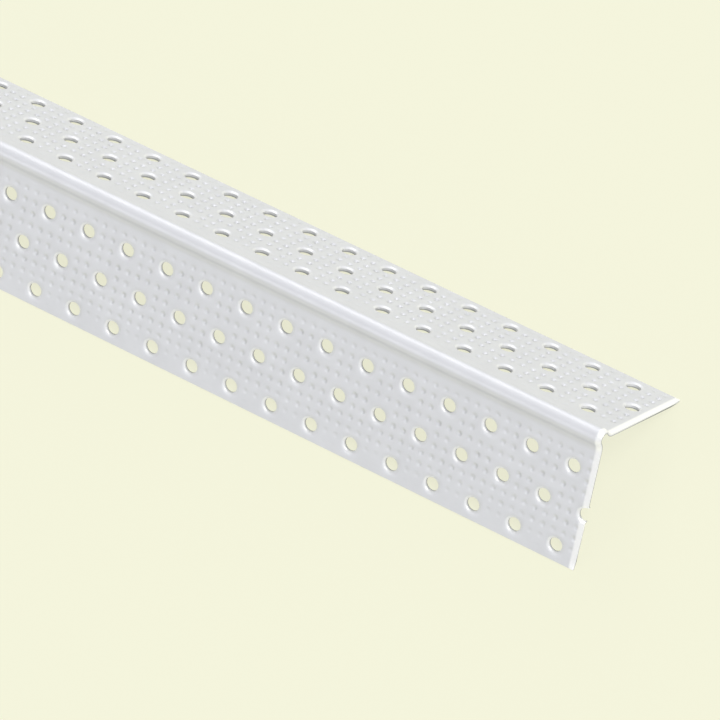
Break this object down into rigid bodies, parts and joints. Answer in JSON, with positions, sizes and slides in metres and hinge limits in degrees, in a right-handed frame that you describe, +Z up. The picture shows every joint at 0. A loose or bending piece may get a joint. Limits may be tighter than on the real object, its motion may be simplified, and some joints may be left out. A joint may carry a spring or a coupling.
{
  "type": "drywall corner bead",
  "caption": "Long angle strip of punched, dimpled galvanised sheet with a rounded raised nose; it guards and trues the outside corner of two drywall boards.",
  "frame": {"origin": "middle of the length and width, on the floor under the nose", "axes": "+X along the strip to the end seen in the picture, +Y to the back flange, +Z up through the nose"},
  "size_m": [1.2192, 0.0428, 0.0247],
  "materials": {
    "zinc_coated_steel": "matte pale zinc coat, bright on edges"
  },
  "bodies": {
    "root": {"corner_bead": "zinc_coated_steel"}
  },
  "joints": []
}
